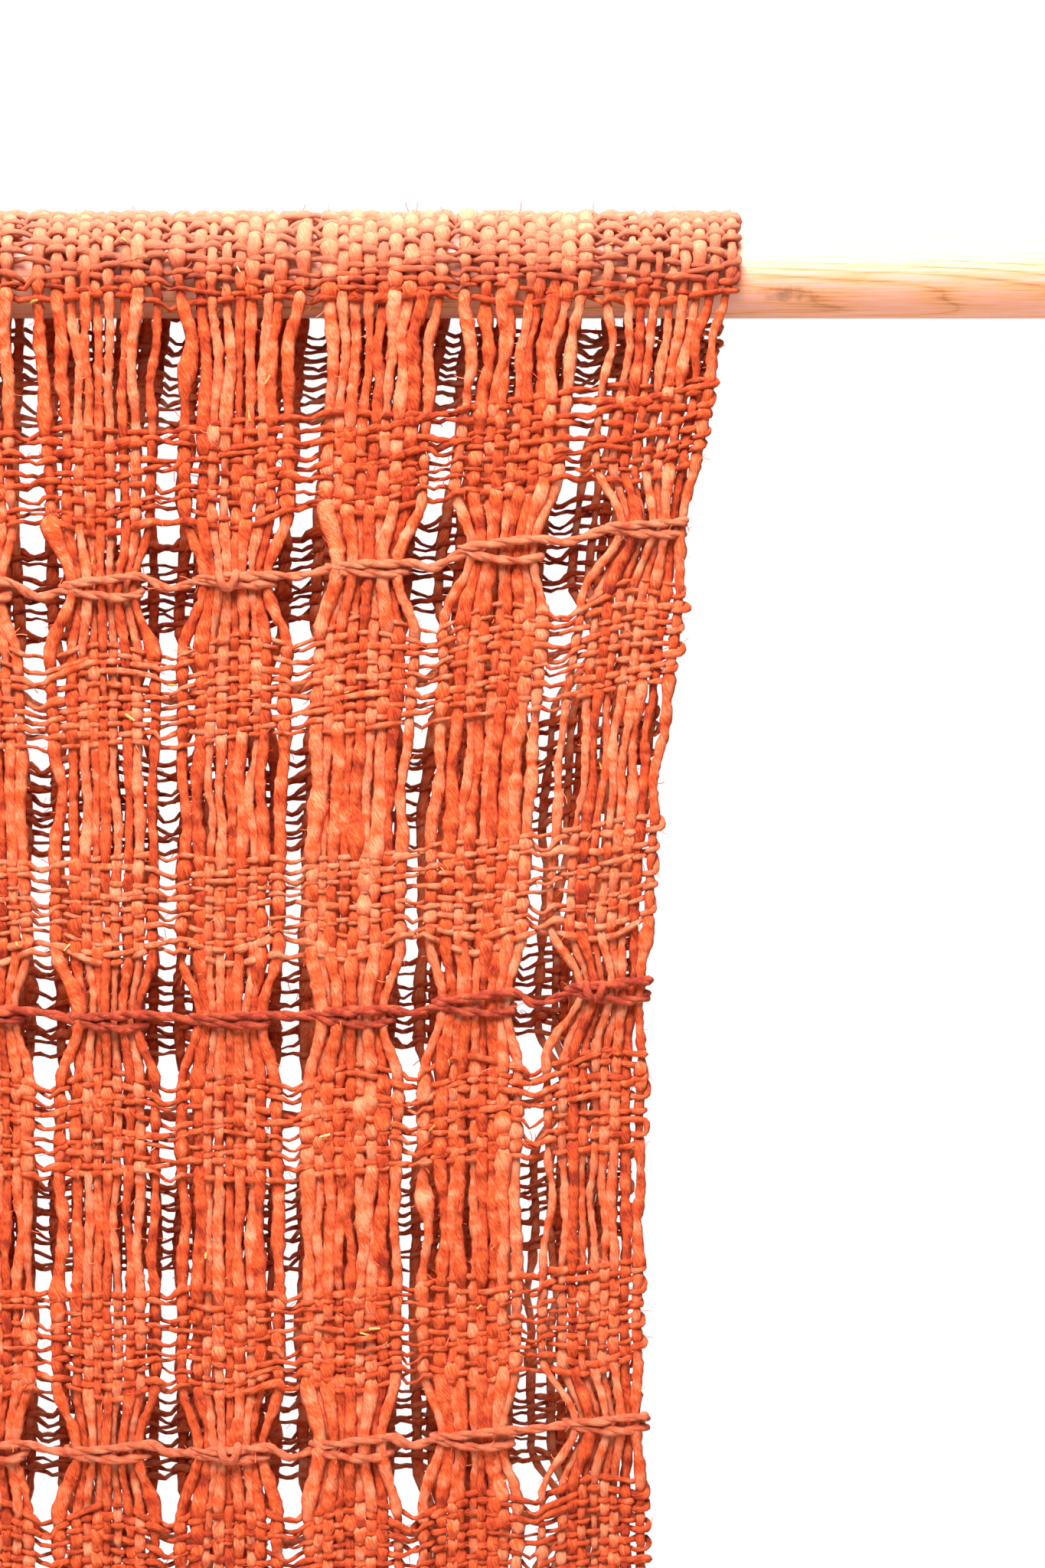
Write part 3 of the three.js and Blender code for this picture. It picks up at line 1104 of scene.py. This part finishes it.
def handling_marks(tree, place):
    """How dark the rod is stained: a smudge beside the cloth at its front, and faint spots."""
    beside = cloth_half_width(0.0) + 0.014
    offset = tree.vector_math("SUBTRACT", place, (beside, -0.7 * ROD_RADIUS, -0.5 * ROD_RADIUS))
    squeezed = tree.vector_math("MULTIPLY", offset, (110.0, 260.0, 420.0))
    length = tree.add("ShaderNodeVectorMath", {0: squeezed}, operation="LENGTH").outputs["Value"]
    spots = tree.noise({"Vector": place, "Scale": 420.0, "Detail": 4.0})
    smudge = tree.math("SUBTRACT", tree.math("ADD", 0.55, tree.math("MULTIPLY", spots, 1.1)), length)
    clear = tree.add("ShaderNodeClamp", {"Value": smudge, "Min": 0.0, "Max": 0.8})
    return clear.outputs[0]


def floor_looks(_tree, colour):
    return {"Base Color": (*colour[:3], 1), "Roughness": 0.9}


# ---- settings


def length_setting(name, default, description):
    return bpy.props.FloatProperty(
        name=name, default=default, min=0.0, precision=5, unit="LENGTH", description=description
    )


def colour_setting(name, default, description):
    return bpy.props.FloatVectorProperty(
        name=name, default=default, size=3, min=0.0, max=1.0, subtype="COLOR", description=description
    )


def power_setting(name, default, description):
    options = {"min": 0.0, "unit": "POWER"}
    return bpy.props.FloatProperty(name=name, default=default, description=description, **options)


class ClothSettings(bpy.types.PropertyGroup):
    """How the cloth is spun and woven."""

    warps_per_bundle: bpy.props.IntProperty(
        name="Warps in a bundle", default=9, min=3, max=16, description="Warp yarns that one tie gathers"
    )
    warp_diameter: length_setting("Warp thickness", 0.0033, "Usual thickness of a warp yarn")
    weft_diameter: length_setting("Weft thickness", 0.0017, "Usual thickness of a weft yarn")
    weft_pitch: length_setting("Weft spacing", 0.0027, "From one row of weft to the next")
    tie_diameter: length_setting("Tie thickness", 0.0027, "Usual thickness of a tie yarn")
    slubbiness: bpy.props.FloatProperty(
        name="Slubs", default=1.0, min=0.0, max=2.0, description="How unevenly the yarn is spun"
    )
    hair_length: length_setting("Hair length", 0.0019, "Usual length of the fuzz on the yarns")


class DyeSettings(bpy.types.PropertyGroup):
    """The colours of the cotton."""

    dark: colour_setting("Dark dye", (0.34, 0.020, 0.006), "Where the cotton took the most dye")
    usual: colour_setting("Usual dye", (0.93, 0.112, 0.022), "Most of the cotton")
    light: colour_setting("Light dye", (0.99, 0.350, 0.180), "Where the cotton took the least dye")
    tie_dark: colour_setting("Dark tie", (0.44, 0.035, 0.016), "The darkest of the tie yarns")
    tie_usual: colour_setting("Usual tie", (0.86, 0.140, 0.055), "Most of the tie yarn")
    tie_light: colour_setting("Light tie", (0.99, 0.300, 0.150), "The lightest of the tie yarns")
    straw: colour_setting("Straw", (0.88, 0.52, 0.14), "Slivers of straw spun into the yarn")


class RodSettings(bpy.types.PropertyGroup):
    """The finish of the rod."""

    pale_colour: colour_setting("Pale wood", (0.92, 0.40, 0.29), "The palest wood")
    wood_colour: colour_setting("Wood", (0.86, 0.33, 0.115), "Most of the wood")
    grain_colour: colour_setting("Grain", (0.50, 0.14, 0.035), "The lines of the grain")
    end_rounding: length_setting("End rounding", 0.0012, "How far the ends' edges are rounded")


class StudioSettings(bpy.types.PropertyGroup):
    """The stage that the hanging is shown on."""

    camera_distance: length_setting("Camera distance", 1.15, "From the camera to the front of the cloth")
    key_power: power_setting("Key light", 72.0, "The large light above and in front")
    top_power: power_setting("Top light", 15.0, "The light straight above the rod")
    fill_power: power_setting("Fill light", 4.0, "The weak light beside the camera")
    back_power: power_setting("Back light", 20.0, "The large light behind and above")
    floor_colour: colour_setting("Floor", (0.90, 0.89, 0.87), "The floor under the hanging")


# ---- pieces


def warp_cotton(dye):
    colours = (dye.dark, dye.usual, dye.light)
    spinning = {"turns_per_metre": 48.0, "yarn_spread": 0.42}
    return material("Dyed cotton", cotton_looks, colours=colours, **spinning)


def tie_cotton(dye):
    colours = (dye.tie_dark, dye.tie_usual, dye.tie_light)
    spinning = {"turns_per_metre": 110.0, "yarn_spread": 0.62}
    return material("Tie cotton", cotton_looks, colours=colours, **spinning)


def yarn_values(context, cotton, seed, faces_round, lump_height, hairs, flecks):
    return {
        "Faces round": faces_round,
        "Lump height": lump_height,
        "Lumps per metre": 620.0,
        "Hair length": context.scene.hanging_cloth.hair_length,
        "Hairs per area": hairs,
        "Flecks per area": flecks,
        "Seed": seed,
        "Cotton": cotton,
        "Straw": material("Straw", straw_looks, colour=context.scene.hanging_dye.straw),
    }


def name_piece(node):
    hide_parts(node)


def bend_with_fall(piece):
    """Bakes the piece's place into its mesh, and leaves it where it is."""
    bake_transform(piece)


def node_number(fall, bundle):
    """The number of a bundle's CAD node. The back ones are numbered from the other side."""
    return bundle + 1 if fall.facing > 0 else BUNDLES - bundle


class HANGING_OT_rod(bpy.types.Operator):
    """Turns the wooden rod, with rounded ends"""

    bl_idname = "hanging.rod"
    bl_label = "Rod"

    def execute(self, context):
        finish = context.scene.hanging_rod
        piece = turned_rod(finish.end_rounding)
        piece.data.materials.append(material("Turned wood", wood_looks, finish=finish))
        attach(piece, "rod")
        name_piece("rod")
        return {"FINISHED"}


def rod_outline(rounding):
    """Places along the rod and its radius at each, from end to end."""
    left, right = ROD_ENDS
    corner = np.linspace(0, math.pi / 2, 7)
    near = left + rounding * (1 - np.cos(corner))
    narrow = ROD_RADIUS - rounding * (1 - np.sin(corner))
    middle = np.linspace(left, right, 24)[1:-1]
    along = np.concatenate([near, middle, (left + right) - near[::-1]])
    radii = np.concatenate([narrow, np.full(len(middle), ROD_RADIUS), narrow[::-1]])
    return along, radii


def turned_rod(rounding):
    """A round rod, not quite straight, as rings of points closed by a point at each end."""
    sides = 96
    along, radii = rod_outline(rounding)
    bent = 0.00015 * wobble((41,), 0.35, along)
    angle = np.linspace(0, 2 * math.pi, sides, endpoint=False)
    rings = [
        np.column_stack([np.full(sides, x), r * np.cos(angle) + y, r * np.sin(angle)])
        for x, r, y in zip(along, radii, bent)
    ]
    left, right = (along[0], bent[0], 0.0), (along[-1], bent[-1], 0.0)
    points = np.vstack([*rings, left, right])
    left_point, right_point = len(points) - 2, len(points) - 1
    last = (len(along) - 1) * sides
    faces = []
    for side in range(sides):
        after = (side + 1) % sides
        for low in range(0, last, sides):
            faces.append((low + side, low + after, low + sides + after, low + sides + side))
        faces.append((left_point, after, side))
        faces.append((right_point, last + side, last + after))
    mesh = bpy.data.meshes.new("turned_rod")
    mesh.from_pydata(points, [], faces)
    mesh.polygons.foreach_set("use_smooth", [True] * len(faces))
    piece = bpy.data.objects.new("turned_rod", mesh)
    bpy.context.scene.collection.objects.link(piece)
    return piece


class HANGING_OT_warps(bpy.types.Operator):
    """Spins the warp yarns of every bundle, from the top of the rod down to the knots"""

    bl_idname = "hanging.warps"
    bl_label = "Warps"

    def execute(self, context):
        cloth = context.scene.hanging_cloth
        cotton = warp_cotton(context.scene.hanging_dye)
        for fall in (FRONT, BACK):
            kind = (fall.faces_round_warp, WARP_LUMPS, fall.hairs, FLECKS)
            for bundle in range(BUNDLES):
                first = bundle * cloth.warps_per_bundle
                numbers = range(first, first + cloth.warps_per_bundle)
                yarns = [warp_yarn(fall, warp, cloth) for warp in numbers]
                number = node_number(fall, bundle)
                values = yarn_values(context, cotton, number, *kind)
                piece = spin(f"{fall.name}_warps_{number}", yarns, values)
                bend_with_fall(piece)
                name_piece(f"{fall.name}_bundle_{number}")
        return {"FINISHED"}


class HANGING_OT_wefts(bpy.types.Operator):
    """Weaves the weft yarns through the warps, over the rod and in every band"""

    bl_idname = "hanging.wefts"
    bl_label = "Wefts"

    def execute(self, context):
        cotton = warp_cotton(context.scene.hanging_dye)
        self.weave_over_rod(context, cotton)
        for fall in (FRONT, BACK):
            for band in range(len(band_tops(fall))):
                self.weave_band(context, fall, band, cotton)
        return {"FINISHED"}

    def weave_over_rod(self, context, cotton):
        cloth = context.scene.hanging_cloth
        rows = rod_rows(cloth.weft_pitch)
        half = len(rows) // 2
        yarns = [weft_yarn(BACK, rows[:half], cloth), weft_yarn(FRONT, rows[half:], cloth)]
        values = yarn_values(context, cotton, 51, *ROD_WEFT_YARN)
        piece = spin("wefts_over_rod", yarns, values)
        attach(piece, "saddle")
        name_piece("cloth_over_rod")

    def weave_band(self, context, fall, band, cotton):
        cloth = context.scene.hanging_cloth
        yarns = [weft_yarn(fall, band_rows(fall, band, cloth.weft_pitch), cloth)]
        kind = (fall.faces_round_weft, WEFT_LUMPS, fall.hairs, FLECKS)
        values = yarn_values(context, cotton, 60 + band, *kind)
        piece = spin(f"{fall.name}_wefts_{band + 1}", yarns, values)
        bend_with_fall(piece)
        name_piece(f"{fall.name}_weft_band_{band + 1}")


class HANGING_OT_ties(bpy.types.Operator):
    """Winds a doubled tie yarn round the bundles in every tie row"""

    bl_idname = "hanging.ties"
    bl_label = "Ties"

    def execute(self, context):
        cloth = context.scene.hanging_cloth
        cotton = tie_cotton(context.scene.hanging_dye)
        for fall in (FRONT, BACK):
            for row, level in enumerate(tie_drops(fall)):
                yarns = tie_yarns(fall, level, row, cloth)
                values = yarn_values(context, cotton, 80 + row, *TIE_YARN)
                piece = spin(f"{fall.name}_tie_yarn_{row + 1}", yarns, values)
                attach(piece, f"{fall.name}_fall")
                name_piece(f"{fall.name}_tie_{row + 1}")
        return {"FINISHED"}


class HANGING_OT_fringe(bpy.types.Operator):
    """Ties the knots of the fringe and hangs the warps' ends below them"""

    bl_idname = "hanging.fringe"
    bl_label = "Fringe"

    def execute(self, context):
        cloth = context.scene.hanging_cloth
        cotton = warp_cotton(context.scene.hanging_dye)
        for fall in (FRONT, BACK):
            for bundle in range(BUNDLES):
                yarns = tassel_yarns(fall, bundle, cloth) + knot_yarns(fall, bundle, cloth)
                number = node_number(fall, bundle)
                values = yarn_values(context, cotton, 90 + number, *FRINGE_YARN)
                piece = spin(f"{fall.name}_knotted_ends_{number}", yarns, values)
                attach(piece, f"{fall.name}_fringe")
                name_piece(f"{fall.name}_tassel_{number}")
        return {"FINISHED"}


class HANGING_OT_declare(bpy.types.Operator):
    """Gathers, for each bundle's strip of cloth, the names of the pieces that go with it, and does not
    use them
    """

    bl_idname = "hanging.declare"
    bl_label = "Cloth sizes"

    def execute(self, context):
        for fall in (FRONT, BACK):
            for number in range(1, BUNDLES + 1):
                declare_strip(fall, number)
        return {"FINISHED"}


def declare_strip(fall, number):
    """The names of the pieces that go with one bundle's strip of cloth; for the first strip, also what
    runs across all of them. The list is not used.
    """
    extras = [f"{fall.name}_knotted_ends_{number}"]
    if number == 1:
        extras += [f"{fall.name}_wefts_{band + 1}" for band in range(len(band_tops(fall)))]
        extras += [f"{fall.name}_tie_yarn_{row + 1}" for row in range(TIE_ROWS)]
        if fall is FRONT:
            extras.append("wefts_over_rod")


# ---- the stage


# Each light's name, its place, where it points and how wide it is.
LIGHTS = (
    ("Key", (-0.15, -1.18, 1.10), (0.03, 0.0, -0.2), 1.1),
    ("Top", (0.08, -0.35, 0.90), (0.05, 0.0, 0.0), 0.6),
    ("Fill", (0.25, -1.9, -0.25), (0.03, 0.0, -0.25), 1.4),
    ("Back", (0.45, 1.30, 0.80), (0.0, 0.0, -0.25), 1.0),
)


class HANGING_OT_stage(bpy.types.Operator):
    """Puts down the floor and sets up the lights and the camera"""

    bl_idname = "hanging.stage"
    bl_label = "Stage"

    def execute(self, context):
        studio = context.scene.hanging_studio
        add_floor(studio)
        add_world()
        for name, place, target, size in LIGHTS:
            add_light(name, place, target, size, getattr(studio, f"{name.lower()}_power"))
        add_camera(studio)
        context.scene.view_settings.view_transform = "Standard"
        return {"FINISHED"}


def add_floor(studio):
    mesh = bpy.data.meshes.new("floor")
    reach, low = 0.9, CAD_BOX[0][2] - 0.12
    sides = ((-1, -1), (1, -1), (1, 1), (-1, 1))
    mesh.from_pydata([(x * reach, y * reach, low) for x, y in sides], [], [(0, 1, 2, 3)])
    mesh.materials.append(material("Plain floor", floor_looks, colour=studio.floor_colour))
    floor = bpy.data.objects.new("floor", mesh)
    bpy.context.scene.collection.objects.link(floor)


def add_world():
    """A white studio: bright behind the object and dimmer as a light on it."""
    world = bpy.data.worlds.new("White studio")
    world.use_nodes = True
    world.node_tree.nodes.clear()
    tree = NodeTree(world.node_tree)
    path = tree.add("ShaderNodeLightPath").outputs
    mirrored = tree.math("MULTIPLY", path["Is Glossy Ray"], 0.35)
    seen = tree.math("ADD", path["Is Camera Ray"], mirrored)
    values = {"Color": (1, 1, 1, 1), "Strength": ranged(tree, seen, 0.04, 1.0)}
    light = tree.add("ShaderNodeBackground", values)
    out = tree.add("ShaderNodeOutputWorld")
    tree.tree.links.new(light.outputs["Background"], out.inputs["Surface"])
    bpy.context.scene.world = world


def aim(thing, target):
    direction = Vector(target) - thing.location
    thing.rotation_euler = direction.to_track_quat("-Z", "Y").to_euler()


def add_light(name, place, target, size, power):
    data = bpy.data.lights.new(name, "AREA")
    data.shape = "DISK"
    data.size = size
    data.energy = power
    light = bpy.data.objects.new(name, data)
    light.location = place
    aim(light, target)
    bpy.context.scene.collection.objects.link(light)


def add_camera(studio):
    """Looks straight at the upper right part of the cloth and the bare end of the rod."""
    view_height = 0.445
    centre_x = TOP_PITCH * 2.45
    centre_z = -0.1465
    data = bpy.data.cameras.new("Camera")
    data.sensor_fit = "VERTICAL"
    data.sensor_height = 36.0
    data.lens = data.sensor_height * studio.camera_distance / view_height
    camera = bpy.data.objects.new("Camera", data)
    camera.location = (centre_x, -FOLD_RADIUS - studio.camera_distance, centre_z)
    camera.rotation_euler = (math.pi / 2, 0, 0)
    bpy.context.scene.collection.objects.link(camera)
    bpy.context.scene.camera = camera


# ---- panel and start


STEPS = (
    HANGING_OT_rod,
    HANGING_OT_warps,
    HANGING_OT_wefts,
    HANGING_OT_ties,
    HANGING_OT_fringe,
    HANGING_OT_declare,
    HANGING_OT_stage,
)

SETTINGS = {
    "hanging_cloth": ClothSettings,
    "hanging_dye": DyeSettings,
    "hanging_rod": RodSettings,
    "hanging_studio": StudioSettings,
}


class HANGING_PT_panel(bpy.types.Panel):
    """Sizes, colours and steps of the wall hanging"""

    bl_idname = "HANGING_PT_panel"
    bl_label = "Wall hanging"
    bl_space_type = "VIEW_3D"
    bl_region_type = "UI"
    bl_category = "Wall hanging"

    def draw(self, context):
        for key, group in SETTINGS.items():
            settings = getattr(context.scene, key)
            box = self.layout.box()
            for name in group.__annotations__:
                box.prop(settings, name)
        for step in STEPS:
            self.layout.operator(step.bl_idname)


CLASSES = (*SETTINGS.values(), *STEPS, HANGING_PT_panel)


def register():
    for item in CLASSES:
        bpy.utils.register_class(item)
    for key, group in SETTINGS.items():
        setattr(bpy.types.Scene, key, bpy.props.PointerProperty(type=group))


def unregister():
    for key in SETTINGS:
        delattr(bpy.types.Scene, key)
    for item in reversed(CLASSES):
        bpy.utils.unregister_class(item)


def main():
    register()
    for step in STEPS:
        area, name = step.bl_idname.split(".")
        getattr(getattr(bpy.ops, area), name)()


if __name__ == "__main__":
    main()
